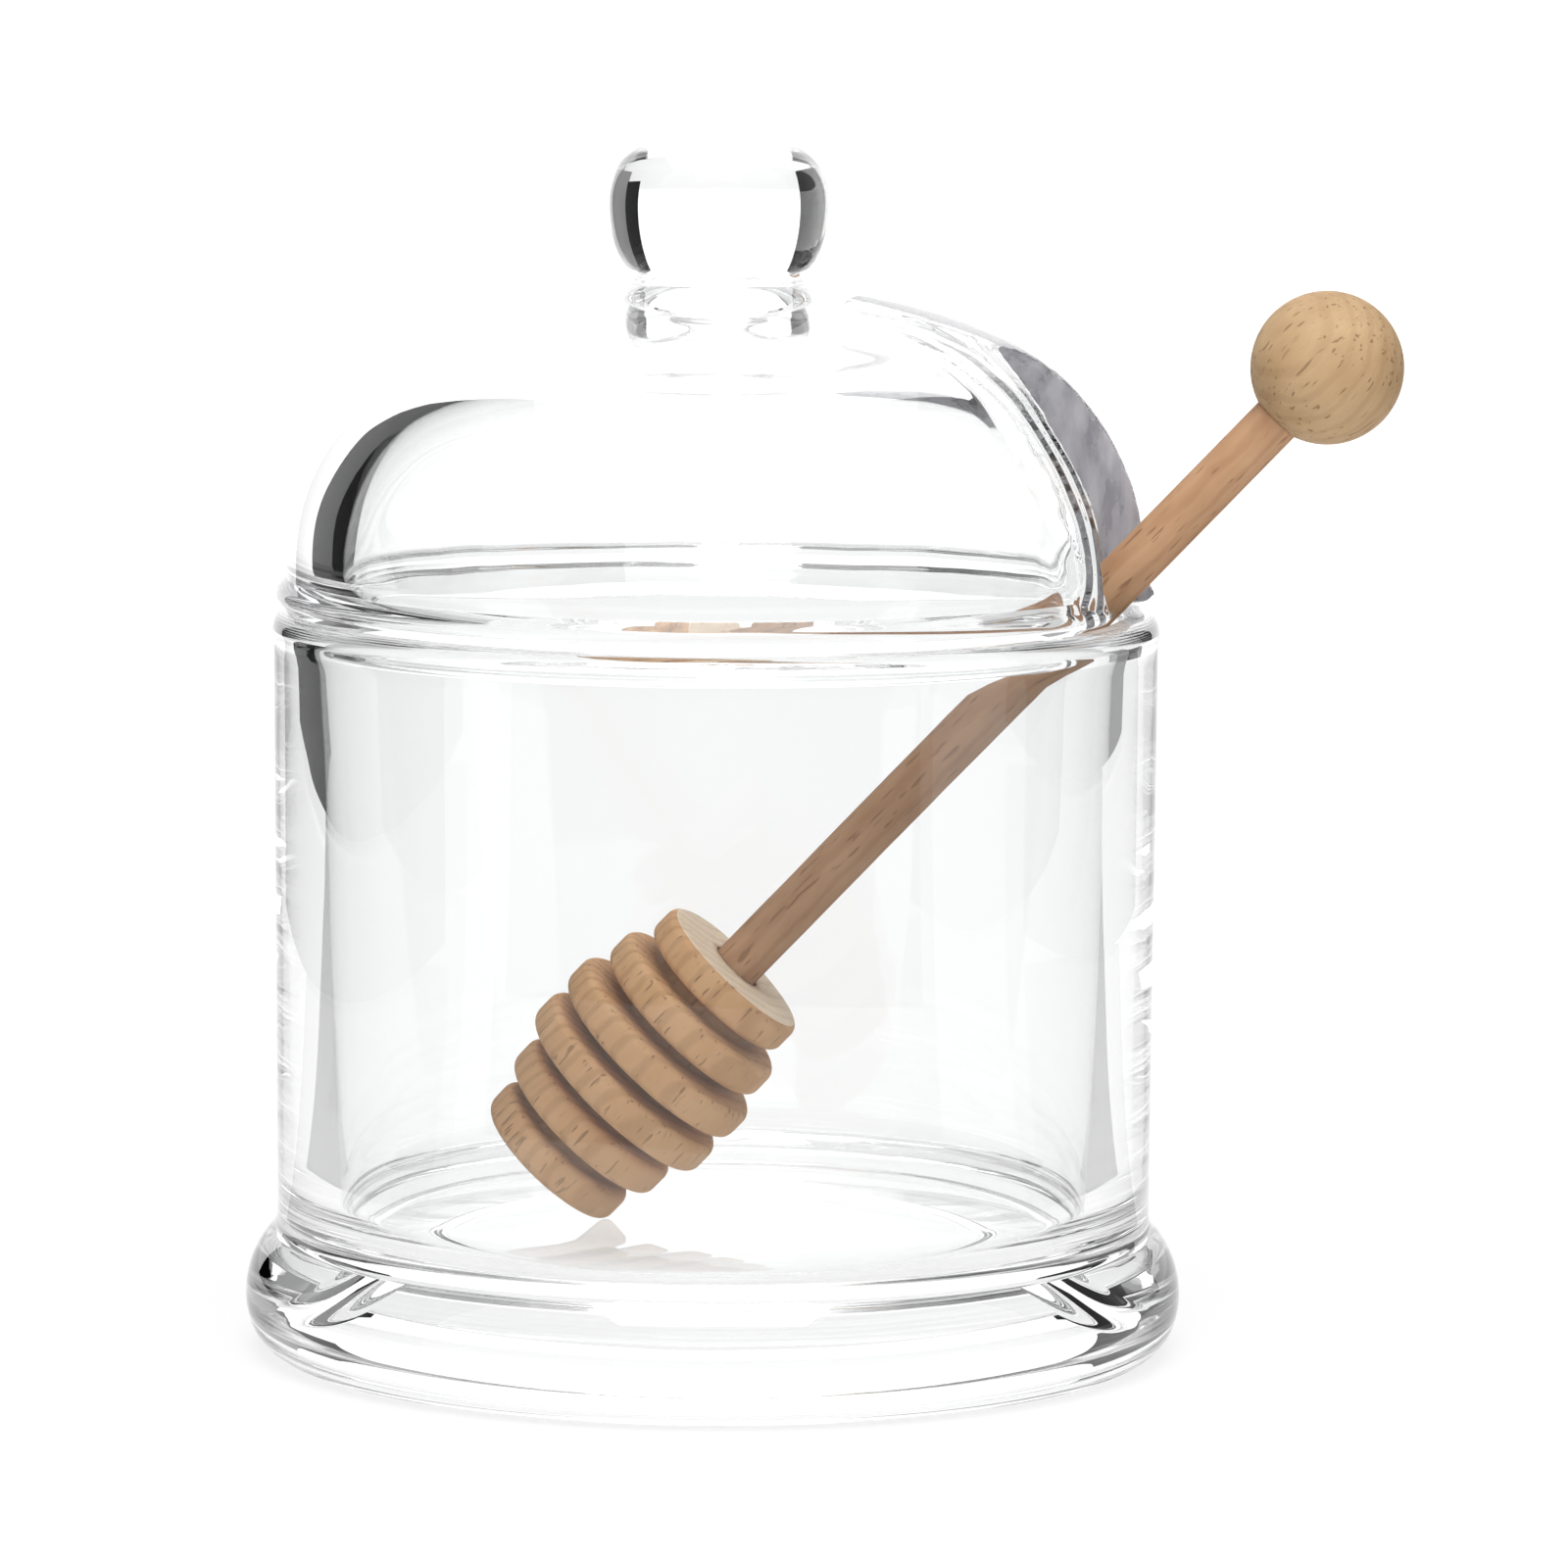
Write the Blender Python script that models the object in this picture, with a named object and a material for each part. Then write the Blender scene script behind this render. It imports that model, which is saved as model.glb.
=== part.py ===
# Honey jar of clear pressed glass, with a domed and knobbed glass lid and a turned wooden dipper.
# The jar is empty and stands on z = 0. The lid's notch faces +X, and the dipper leans out through it.
# All sizes are in metres. The origin is the middle of the set's footprint, on the surface it stands on.
import math

import bmesh
import bpy
from mathutils import Matrix, Vector

GAP = 0.0003  # between pieces that touch
MERGE_DISTANCE = 0.000001  # corners nearer than this are one corner

# Facets round each piece, and along each rounded edge of its profile
GLASS_SIDES = 40
STEM_SIDES = 20
HEAD_SIDES = 28
BALL_SIDES = 24
FILLET_STEPS = 4
RIM_STEPS = 3
BEAD_STEPS = 5
FOOT_STEPS = 6
KNOB_STEPS = 5
CROWN_STEPS = 3
SHOULDER_STEPS = 8
SMALL_EDGE_STEPS = 2
BALL_STEPS = 12

# The jar's outside, from the foot up
FOOT_RADIUS = 0.0566
FOOT_WIDEST_Z = 0.0065
FOOT_CONTACT_RADIUS = 0.0522
FOOT_SHOULDER_ROUND = 0.0112
BODY_BOTTOM_Z = 0.0162
BODY_BOTTOM_RADIUS = 0.0527
BODY_TOP_Z = 0.0855
BODY_TOP_RADIUS = 0.0531
RIM_TOP_Z = 0.0895
RIM_BEAD_ROUND = 0.0022
RIM_BEAD_CENTRE_RADIUS = 0.0511
RIM_BEAD_END = -15.0  # degrees below the bead's widest line, where it runs into the body
FOOT_SHOULDER_TOP = 46.0  # degrees above the foot's widest line, where it meets the body

# The jar's inside and its underside
BORE_TOP_RADIUS = 0.0480
BORE_BOTTOM_RADIUS = 0.0454
RIM_INNER_ROUND = 0.0018
FLOOR_Z = 0.0144
FLOOR_FLAT_RADIUS = 0.0400
FLOOR_FILLET_TOP_Z = 0.0205
RECESS_DEPTH = 0.0012
RECESS_RADIUS = 0.0334

# The lid's dome, flange and locating lip
SEAT_Z = RIM_TOP_Z + GAP
FLANGE_RADIUS = 0.0529
FLANGE_BEAD_ROUND = 0.0014
FLANGE_BEAD_Z = 0.0915
FLANGE_BEAD_REACH = 50.0  # degrees above and below the bead's widest line
FLANGE_EDGE_RADIUS = 0.0519
DOME_FOOT_Z = 0.0935
DOME_RADIUS = 0.0517
DOME_SHOULDER_ROUND = 0.0295
DOME_CROWN_ROUND = 0.0820
DOME_APEX_Z = 0.1297
DOME_THICKNESS = 0.0070
LIP_OUTER_RADIUS = 0.0469
LIP_INNER_RADIUS = 0.0432
LIP_BOTTOM_Z = 0.0858
LIP_ROUND = 0.0009

# The lid's knob
KNOB_WAIST_RADIUS = 0.0097
KNOB_WAIST_Z = 0.1300
KNOB_FOOT_RADIUS = 0.0112
KNOB_RADIUS = 0.01325
KNOB_WIDEST_Z = 0.1384
KNOB_TOP_Z = 0.1452
KNOB_TOP_FLAT_RADIUS = 0.0080
KNOB_UNDERSIDE_END = -72.0  # degrees below the knob's widest line, where it turns into the waist

# The notch that the dipper leans through: upright walls with a round top
NOTCH_HALF_WIDTH = 0.0123
NOTCH_TOP_Z = 0.1217
NOTCH_INNER_X = 0.0150
NOTCH_OUTER_X = 0.0700
NOTCH_BOTTOM_Z = 0.0800
NOTCH_ARCH_STEPS = 12

# The dipper, measured along its own axis from the head's end
DIPPER_TILT = math.radians(46.5)  # above the horizontal
DIPPER_AZIMUTH = math.radians(6.0)  # seen from above, from +X towards +Y
DIPPER_BALL_CENTRE = 0.1359
STEM_RADIUS = 0.0030
BALL_RADIUS = 0.00915
SOCKET_DEPTH = 0.0060
DISC_PITCH = 0.0059
DISC_THICKNESS = 0.0043
DISC_ROUND = 0.0012
DISC_RADII = (0.0100, 0.0115, 0.0135, 0.0136, 0.0122, 0.0104)  # from the end to the stem
HEAD_CORE_RADIUS = 0.0070
HEAD_LENGTH = DISC_PITCH * (len(DISC_RADII) - 1) + DISC_THICKNESS

# Colours, and how rough each finish is
GLASS_COLOUR = (0.93, 0.96, 0.96)
STEM_COLOUR = (0.60, 0.40, 0.26)
HEAD_COLOUR = (0.67, 0.49, 0.34)
BALL_COLOUR = (0.72, 0.56, 0.38)
GLASS_ROUGHNESS = 0.02
WOOD_ROUGHNESS = 0.6
SOFT_EDGE = math.radians(40.0)  # facets that meet at less than this are shaded as one curve


def arc(centre, radii, start, end, steps):
    """Points (radius, height) round an arc, from one angle to another, in degrees."""
    points = []
    for step in range(steps + 1):
        angle = math.radians(start + (end - start) * step / steps)
        points.append((centre[0] + radii[0] * math.cos(angle), centre[1] + radii[1] * math.sin(angle)))
    return points


def material(name, colour, roughness, transmission=0.0):
    """A plain finish in the piece's own colour."""
    made = bpy.data.materials.new(name)
    made.use_nodes = True
    shader = made.node_tree.nodes["Principled BSDF"]
    shader.inputs["Base Color"].default_value = (*colour, 1.0)
    shader.inputs["Roughness"].default_value = roughness
    shader.inputs["Metallic"].default_value = 0.0
    shader.inputs["Transmission Weight"].default_value = transmission
    return made


def turned(name, profile, sides, finish):
    """A body turned about its own Z axis from a profile that starts and ends on that axis."""
    body = bmesh.new()
    corners = [body.verts.new((radius, 0.0, height)) for radius, height in profile]
    for above, below in zip(corners, corners[1:]):
        body.edges.new((above, below))
    bmesh.ops.spin(
        body,
        geom=body.verts[:] + body.edges[:],
        cent=(0.0, 0.0, 0.0),
        axis=(0.0, 0.0, 1.0),
        angle=math.tau,
        steps=sides,
        use_merge=True,
    )
    bmesh.ops.remove_doubles(body, verts=body.verts[:], dist=MERGE_DISTANCE)
    bmesh.ops.recalc_face_normals(body, faces=body.faces[:])
    return finished(name, body, finish)


def finished(name, body, finish):
    """An object of that name from the body, shaded smooth but for its sharp edges."""
    mesh = bpy.data.meshes.new(name)
    body.to_mesh(mesh)
    body.free()
    mesh.materials.append(finish)
    mesh.shade_smooth()
    mesh.set_sharp_from_angle(angle=SOFT_EDGE)
    made = bpy.data.objects.new(name, mesh)
    bpy.context.scene.collection.objects.link(made)
    return made


def jar_inside():
    """From the middle of the floor, up the tapered bore, to the rounded rim."""
    fillet = (BORE_BOTTOM_RADIUS - FLOOR_FLAT_RADIUS, FLOOR_FILLET_TOP_Z - FLOOR_Z)
    rim_centre = (BORE_TOP_RADIUS + RIM_INNER_ROUND, RIM_TOP_Z - RIM_INNER_ROUND)
    return (
        [(0.0, FLOOR_Z)]
        + arc((FLOOR_FLAT_RADIUS, FLOOR_FILLET_TOP_Z), fillet, -90, 0, FILLET_STEPS)
        + arc(rim_centre, (RIM_INNER_ROUND, RIM_INNER_ROUND), 180, 90, RIM_STEPS)
    )


def jar_outside():
    """From the rim's bead, down the drafted body, round the foot, to the recess underneath."""
    bead_centre = (RIM_BEAD_CENTRE_RADIUS, RIM_TOP_Z - RIM_BEAD_ROUND)
    shoulder_centre = (FOOT_RADIUS - FOOT_SHOULDER_ROUND, FOOT_WIDEST_Z)
    shoulder = (FOOT_SHOULDER_ROUND, FOOT_SHOULDER_ROUND)
    lower = (FOOT_RADIUS - FOOT_CONTACT_RADIUS, FOOT_WIDEST_Z)
    return (
        arc(bead_centre, (RIM_BEAD_ROUND, RIM_BEAD_ROUND), 90, RIM_BEAD_END, BEAD_STEPS)
        + [(BODY_TOP_RADIUS, BODY_TOP_Z), (BODY_BOTTOM_RADIUS, BODY_BOTTOM_Z)]
        + arc(shoulder_centre, shoulder, FOOT_SHOULDER_TOP, 0, FOOT_STEPS)
        + arc((FOOT_CONTACT_RADIUS, FOOT_WIDEST_Z), lower, 0, -90, FOOT_STEPS)[1:]
        + [(RECESS_RADIUS + RECESS_DEPTH, 0.0), (RECESS_RADIUS, RECESS_DEPTH), (0.0, RECESS_DEPTH)]
    )


def dome(foot_radius, shoulder_round, crown_round, apex_z, foot_z, steps):
    """Down a dome from its apex: a shallow crown, then a shoulder that ends upright above its foot."""
    crown_z = apex_z - crown_round
    shoulder_radius = foot_radius - shoulder_round
    shoulder_z = crown_z + math.sqrt((crown_round - shoulder_round) ** 2 - shoulder_radius**2)
    meet = math.degrees(math.atan2(shoulder_z - crown_z, shoulder_radius))
    crown = arc((0.0, crown_z), (crown_round, crown_round), 90, meet, CROWN_STEPS)
    shoulder = arc((shoulder_radius, shoulder_z), (shoulder_round, shoulder_round), meet, 0, steps)
    return crown + shoulder[1:] + [(foot_radius, foot_z)]


def knob():
    """From the middle of the knob's flat top, round its side, to its foot on the crown."""
    upper = (KNOB_RADIUS - KNOB_TOP_FLAT_RADIUS, KNOB_TOP_Z - KNOB_WIDEST_Z)
    lower = (KNOB_RADIUS - KNOB_WAIST_RADIUS, KNOB_WIDEST_Z - KNOB_WAIST_Z)
    return (
        [(0.0, KNOB_TOP_Z)]
        + arc((KNOB_TOP_FLAT_RADIUS, KNOB_WIDEST_Z), upper, 90, 0, KNOB_STEPS)
        + arc((KNOB_WAIST_RADIUS, KNOB_WIDEST_Z), lower, 0, KNOB_UNDERSIDE_END, KNOB_STEPS)[1:]
        + [(KNOB_WAIST_RADIUS, KNOB_WAIST_Z)]
    )


def lid_outside():
    """The knob, the dome from the knob's foot, and the flange's bead down to the seat."""
    shell = dome(
        DOME_RADIUS,
        DOME_SHOULDER_ROUND,
        DOME_CROWN_ROUND,
        DOME_APEX_Z,
        DOME_FOOT_Z,
        SHOULDER_STEPS,
    )
    bead_centre = (FLANGE_RADIUS - FLANGE_BEAD_ROUND, FLANGE_BEAD_Z)
    bead = (FLANGE_BEAD_ROUND, FLANGE_BEAD_ROUND)
    crown_drop = DOME_CROWN_ROUND - math.sqrt(DOME_CROWN_ROUND**2 - KNOB_FOOT_RADIUS**2)
    return (
        knob()
        + [(KNOB_FOOT_RADIUS, DOME_APEX_Z - crown_drop)]
        + shell[1:]
        + arc(bead_centre, bead, FLANGE_BEAD_REACH, -FLANGE_BEAD_REACH, BEAD_STEPS)
        + [(FLANGE_EDGE_RADIUS, SEAT_Z)]
    )


def lid_inside():
    """The seat, the locating lip that drops into the jar, and the inside of the dome up to its apex."""
    lip_round = (LIP_ROUND, LIP_ROUND)
    shell = dome(
        DOME_RADIUS - DOME_THICKNESS,
        DOME_SHOULDER_ROUND - DOME_THICKNESS,
        DOME_CROWN_ROUND - DOME_THICKNESS,
        DOME_APEX_Z - DOME_THICKNESS,
        DOME_FOOT_Z + LIP_ROUND,
        SHOULDER_STEPS - SMALL_EDGE_STEPS,
    )
    height = LIP_BOTTOM_Z + LIP_ROUND
    outer_edge = arc((LIP_OUTER_RADIUS - LIP_ROUND, height), lip_round, 0, -90, SMALL_EDGE_STEPS)
    inner_edge = arc((LIP_INNER_RADIUS + LIP_ROUND, height), lip_round, -90, -180, SMALL_EDGE_STEPS)
    lip = [(LIP_OUTER_RADIUS, SEAT_Z)] + outer_edge + inner_edge + [(LIP_INNER_RADIUS, SEAT_Z)]
    return lip + shell[::-1]


def notch_cutter():
    """The arch-shaped prism, along X, that is cut from the lid's +X side."""
    arch_z = NOTCH_TOP_Z - NOTCH_HALF_WIDTH
    arch = arc((0.0, arch_z), (NOTCH_HALF_WIDTH, NOTCH_HALF_WIDTH), 0, 180, NOTCH_ARCH_STEPS)
    outline = [(NOTCH_HALF_WIDTH, NOTCH_BOTTOM_Z)] + arch + [(-NOTCH_HALF_WIDTH, NOTCH_BOTTOM_Z)]
    body = bmesh.new()
    face = body.faces.new([body.verts.new((NOTCH_INNER_X, y, z)) for y, z in outline])
    grown = bmesh.ops.extrude_face_region(body, geom=[face])
    moved = [item for item in grown["geom"] if isinstance(item, bmesh.types.BMVert)]
    bmesh.ops.translate(body, verts=moved, vec=(NOTCH_OUTER_X - NOTCH_INNER_X, 0.0, 0.0))
    bmesh.ops.recalc_face_normals(body, faces=body.faces[:])
    mesh = bpy.data.meshes.new("notch_cutter")
    body.to_mesh(mesh)
    body.free()
    cutter = bpy.data.objects.new("notch_cutter", mesh)
    cutter.hide_render = True
    cutter.display_type = "WIRE"
    bpy.context.scene.collection.objects.link(cutter)
    return cutter


def head_profile():
    """From the head's end, along its row of rounded discs, to the socket for the stem."""
    points = [(0.0, 0.0)]
    rounding = (DISC_ROUND, DISC_ROUND)
    for number, radius in enumerate(DISC_RADII):
        low = number * DISC_PITCH
        high = low + DISC_THICKNESS
        if number:
            points.append((HEAD_CORE_RADIUS, low))
        edge = radius - DISC_ROUND
        points += arc((edge, low + DISC_ROUND), rounding, -90, 0, SMALL_EDGE_STEPS)
        points += arc((edge, high - DISC_ROUND), rounding, 0, 90, SMALL_EDGE_STEPS)
        if number < len(DISC_RADII) - 1:
            points.append((HEAD_CORE_RADIUS, high))
    mouth = STEM_RADIUS + GAP
    bottom = HEAD_LENGTH - SOCKET_DEPTH
    return points + [(mouth, HEAD_LENGTH), (mouth, bottom), (0.0, bottom)]


def stem_profile():
    """A plain dowel from the bottom of the head's socket to the bottom of the ball's."""
    low = HEAD_LENGTH - SOCKET_DEPTH + GAP
    high = DIPPER_BALL_CENTRE - BALL_RADIUS + SOCKET_DEPTH - GAP
    return [(0.0, low), (STEM_RADIUS, low), (STEM_RADIUS, high), (0.0, high)]


def ball_profile():
    """From the far pole, round the ball to the mouth of its socket, and down to the socket's bottom."""
    mouth = STEM_RADIUS + GAP
    mouth_angle = math.degrees(math.acos(mouth / BALL_RADIUS))
    bottom = DIPPER_BALL_CENTRE - BALL_RADIUS + SOCKET_DEPTH
    ball = (BALL_RADIUS, BALL_RADIUS)
    side = arc((0.0, DIPPER_BALL_CENTRE), ball, 90, -mouth_angle, BALL_STEPS)
    return side + [(mouth, bottom), (0.0, bottom)]


def dipper_end():
    """The middle of the head's end, with the head on the floor and the stem on the rim's inner edge."""
    sine, cosine = math.sin(DIPPER_TILT), math.cos(DIPPER_TILT)
    edge = DISC_RADII[0] - DISC_ROUND
    height = FLOOR_Z + GAP + DISC_ROUND * (1.0 - sine) + edge * cosine
    rim_radius = BORE_TOP_RADIUS + RIM_INNER_ROUND
    drop = height - (RIM_TOP_Z - RIM_INNER_ROUND)
    clearance = RIM_INNER_ROUND + STEM_RADIUS + GAP
    reach = rim_radius + (drop * cosine - clearance) / sine
    return reach, height


def clear_scene():
    """Removes what the scene holds at the start."""
    for old in list(bpy.data.objects):
        bpy.data.objects.remove(old, do_unlink=True)


def build():
    """Makes the five pieces, hung from one empty on the jar's axis."""
    clear_scene()
    glass = material("clear_glass", GLASS_COLOUR, GLASS_ROUGHNESS, 1.0)
    stem_wood = material("stem_wood", STEM_COLOUR, WOOD_ROUGHNESS)
    head_wood = material("head_wood", HEAD_COLOUR, WOOD_ROUGHNESS)
    ball_wood = material("ball_wood", BALL_COLOUR, WOOD_ROUGHNESS)

    reach, height = dipper_end()
    ball_reach = reach + DIPPER_BALL_CENTRE * math.cos(DIPPER_TILT)
    overhang = ball_reach * math.cos(DIPPER_AZIMUTH) + BALL_RADIUS
    jar_axis = bpy.data.objects.new("jar_axis", None)
    jar_axis.location = ((FOOT_RADIUS - overhang) / 2, 0.0, 0.0)
    bpy.context.scene.collection.objects.link(jar_axis)

    jar = turned("jar", jar_inside() + jar_outside(), GLASS_SIDES, glass)
    jar.parent = jar_axis
    lid = turned("lid", lid_outside() + lid_inside(), GLASS_SIDES, glass)
    lid.parent = jar_axis
    cutter = notch_cutter()
    cutter.parent = jar_axis
    cut = lid.modifiers.new("notch", "BOOLEAN")
    cut.operation = "DIFFERENCE"
    cut.solver = "EXACT"
    cut.object = cutter

    turn = Matrix.Rotation(DIPPER_AZIMUTH, 4, "Z") @ Matrix.Rotation(math.pi / 2 - DIPPER_TILT, 4, "Y")
    start = Vector((reach * math.cos(DIPPER_AZIMUTH), reach * math.sin(DIPPER_AZIMUTH), height))
    dipper_axis = bpy.data.objects.new("dipper_axis", None)
    dipper_axis.parent = jar_axis
    dipper_axis.location = start
    dipper_axis.rotation_euler = turn.to_euler()
    bpy.context.scene.collection.objects.link(dipper_axis)
    for name, profile, sides, finish in (
        ("dipper_head", head_profile(), HEAD_SIDES, head_wood),
        ("dipper_stem", stem_profile(), STEM_SIDES, stem_wood),
        ("dipper_ball", ball_profile(), BALL_SIDES, ball_wood),
    ):
        turned(name, profile, sides, finish).parent = dipper_axis


build()
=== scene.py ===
import math

import bmesh
import bpy
from mathutils import Matrix, Vector, noise


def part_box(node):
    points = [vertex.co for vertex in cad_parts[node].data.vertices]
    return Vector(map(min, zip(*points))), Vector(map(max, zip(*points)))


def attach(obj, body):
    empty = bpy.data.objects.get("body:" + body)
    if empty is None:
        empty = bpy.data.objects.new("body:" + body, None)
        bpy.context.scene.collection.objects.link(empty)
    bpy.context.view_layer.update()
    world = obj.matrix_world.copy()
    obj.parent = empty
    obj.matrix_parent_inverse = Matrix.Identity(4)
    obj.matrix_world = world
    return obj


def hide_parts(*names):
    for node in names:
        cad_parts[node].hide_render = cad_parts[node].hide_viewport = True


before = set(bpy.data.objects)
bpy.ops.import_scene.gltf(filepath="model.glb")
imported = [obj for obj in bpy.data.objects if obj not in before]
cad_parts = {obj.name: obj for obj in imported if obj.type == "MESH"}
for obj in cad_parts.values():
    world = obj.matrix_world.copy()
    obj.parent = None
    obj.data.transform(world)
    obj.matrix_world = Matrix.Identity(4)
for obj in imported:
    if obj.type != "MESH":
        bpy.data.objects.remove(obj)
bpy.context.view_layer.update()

# The camera. The photograph looks at the set from about a metre away through a long lens, from a
# little higher than the lid's knob, with the notch's side turned 13 degrees towards it.
jar_low, jar_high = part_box("jar")
jar_axis = Vector(((jar_low[0] + jar_high[0]) / 2, 0.0, 0.0))
viewing_side = math.radians(13.0)
camera_distance = 1.100
camera_height = 0.209
look_down = math.radians(7.291)
look_aside = math.radians(0.43)
camera_roll = math.radians(0.36)
lens_mm = 211.3
sensor_mm = 36.0

to_the_right = Vector((math.cos(viewing_side), math.sin(viewing_side), 0.0))
away = Vector((-math.sin(viewing_side), math.cos(viewing_side), 0.0))
aim = (away * math.cos(look_aside) + to_the_right * math.sin(look_aside)) * math.cos(look_down)
aim.z = -math.sin(look_down)
level_side = aim.cross(Vector((0.0, 0.0, 1.0))).normalized()
level_up = level_side.cross(aim)
side = level_side * math.cos(camera_roll) + level_up * math.sin(camera_roll)
up = level_up * math.cos(camera_roll) - level_side * math.sin(camera_roll)
camera = bpy.data.objects.new("camera", bpy.data.cameras.new("camera"))
camera.data.lens = lens_mm
camera.data.sensor_width = sensor_mm
camera.data.clip_start = 0.05
camera.data.clip_end = 30.0
turned = Matrix((side, up, -aim)).transposed().to_4x4()
camera_place = jar_axis - away * camera_distance + Vector((0.0, 0.0, camera_height))
camera.matrix_world = Matrix.Translation(camera_place) @ turned
bpy.context.scene.collection.objects.link(camera)
bpy.context.scene.camera = camera
bpy.context.scene.view_settings.view_transform = "Standard"
bpy.context.scene.cycles.max_bounces = 32
bpy.context.scene.cycles.glossy_bounces = 24
bpy.context.scene.cycles.transmission_bounces = 32

# The studio. The jar stands on a pale sheet in a white room that is bright behind and above it and
# dimmer on the camera's side. Black and grey panels and cloth sheets that the camera doesn't see
# draw the dark edges in the glass. A softbox hangs overhead, and a lamp in front lights the wood.
room_bright = 1.30
room_dim = 0.38
room_bright_side = away * 0.9 + Vector((0.0, 0.0, 0.3))
room_dim_until = -0.30
room_bright_from = 0.75
floor_radius = 0.80
floor_drop = 0.0001
floor_steps = 96
panel_foot_z = 0.004
panel_top_z = 0.60
sheet_height = 0.002
sheet_steps = 16
softbox_size = 0.90
softbox_watts = 10.5
fill_size = 0.80
fill_watts = 5.0


def new_material(name):
    """A material, its tree of nodes and its shader."""
    made = bpy.data.materials.new(name)
    made.use_nodes = True
    return made, made.node_tree, made.node_tree.nodes["Principled BSDF"]


def add_node(tree, kind, operation=None, second=None, **values):
    """A node, with its operation, a constant second operand and the values of sockets by name."""
    node = tree.nodes.new(kind)
    if operation:
        node.operation = operation
    if second is not None:
        node.inputs[1].default_value = second
    for socket_name, value in values.items():
        node.inputs[socket_name.replace("_", " ")].default_value = value
    return node


def link_all(tree, *links):
    """Joins pairs of sockets in a material or a group."""
    for source, target in links:
        tree.links.new(source, target)


sky = bpy.data.worlds.new("white_room")
sky.use_nodes = True
bpy.context.scene.world = sky
room_tree = sky.node_tree
room = room_tree.nodes["Background"]
room.inputs["Color"].default_value = (1.0, 1.0, 1.0, 1.0)
room_direction = add_node(room_tree, "ShaderNodeTexCoord")
room_turn = add_node(room_tree, "ShaderNodeVectorMath", "DOT_PRODUCT", room_bright_side)
room_light = add_node(
    room_tree,
    "ShaderNodeMapRange",
    From_Min=room_dim_until,
    From_Max=room_bright_from,
    To_Min=room_dim,
    To_Max=room_bright,
)
link_all(
    room_tree,
    (room_direction.outputs["Generated"], room_turn.inputs[0]),
    (room_turn.outputs["Value"], room_light.inputs["Value"]),
    (room_light.outputs["Result"], room.inputs["Strength"]),
)


def studio_material(name, colour, roughness, glow=0.0):
    """A plain matt finish for what isn't part of the object."""
    made, tree, shader = new_material(name)
    shader.inputs["Base Color"].default_value = (*colour, 1.0)
    shader.inputs["Roughness"].default_value = roughness
    shader.inputs["Specular IOR Level"].default_value = 0.0
    shader.inputs["Emission Color"].default_value = (1.0, 1.0, 1.0, 1.0)
    shader.inputs["Emission Strength"].default_value = glow
    return made


def studio_panel(name, bearing, distance, width, low, high, finish):
    """An upright panel that faces the jar. The bearing is from straight behind it, to the right."""
    angle = math.radians(bearing)
    outward = away * math.cos(angle) + to_the_right * math.sin(angle)
    across = Vector((-outward.y, outward.x, 0.0))
    body = bmesh.new()
    bmesh.ops.create_grid(body, x_segments=1, y_segments=1, size=0.5)
    bmesh.ops.scale(body, vec=(width, high - low, 1.0), verts=body.verts[:])
    stand = Matrix((across, Vector((0, 0, 1)), outward)).transposed().to_4x4()
    middle = jar_axis + outward * distance + Vector((0, 0, (low + high) / 2))
    bmesh.ops.transform(body, matrix=Matrix.Translation(middle) @ stand, verts=body.verts[:])
    mesh = bpy.data.meshes.new(name)
    body.to_mesh(mesh)
    body.free()
    mesh.materials.append(finish)
    panel = bpy.data.objects.new(name, mesh)
    bpy.context.scene.collection.objects.link(panel)
    panel.visible_camera = False


def studio_sheet(name, start, end, near, far, finish):
    """A sector of cloth laid on the floor, between two bearings. Only the glass shows it."""
    body = bmesh.new()
    rows = []
    for step in range(sheet_steps + 1):
        angle = math.radians(start + (end - start) * step / sheet_steps)
        outward = away * math.cos(angle) + to_the_right * math.sin(angle)
        above = jar_axis + Vector((0.0, 0.0, sheet_height))
        rows.append([body.verts.new(above + outward * reach) for reach in (near, far)])
    for (inner, outer), (next_inner, next_outer) in zip(rows, rows[1:]):
        body.faces.new((inner, outer, next_outer, next_inner))
    mesh = bpy.data.meshes.new(name)
    body.to_mesh(mesh)
    body.free()
    mesh.materials.append(finish)
    sheet = bpy.data.objects.new(name, mesh)
    bpy.context.scene.collection.objects.link(sheet)
    sheet.visible_camera = False
    sheet.visible_diffuse = False
    sheet.visible_shadow = False


def studio_lamp(name, size, watts, place):
    """A square lamp that faces the jar's foot."""
    lamp = bpy.data.objects.new(name, bpy.data.lights.new(name, "AREA"))
    lamp.data.shape = "SQUARE"
    lamp.data.size = size
    lamp.data.energy = watts
    facing = (place - jar_axis).to_track_quat("Z", "Y")
    lamp.matrix_world = Matrix.Translation(place) @ facing.to_matrix().to_4x4()
    bpy.context.scene.collection.objects.link(lamp)
    return lamp


body = bmesh.new()
bmesh.ops.create_circle(body, cap_ends=True, radius=floor_radius, segments=floor_steps)
bmesh.ops.translate(body, vec=(0.0, 0.0, -floor_drop), verts=body.verts[:])
floor_mesh = bpy.data.meshes.new("floor")
body.to_mesh(floor_mesh)
body.free()
floor_mesh.materials.append(studio_material("pale_sheet", (0.22, 0.22, 0.22), 0.8, 0.79))
floor = bpy.data.objects.new("floor", floor_mesh)
bpy.context.scene.collection.objects.link(floor)

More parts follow.
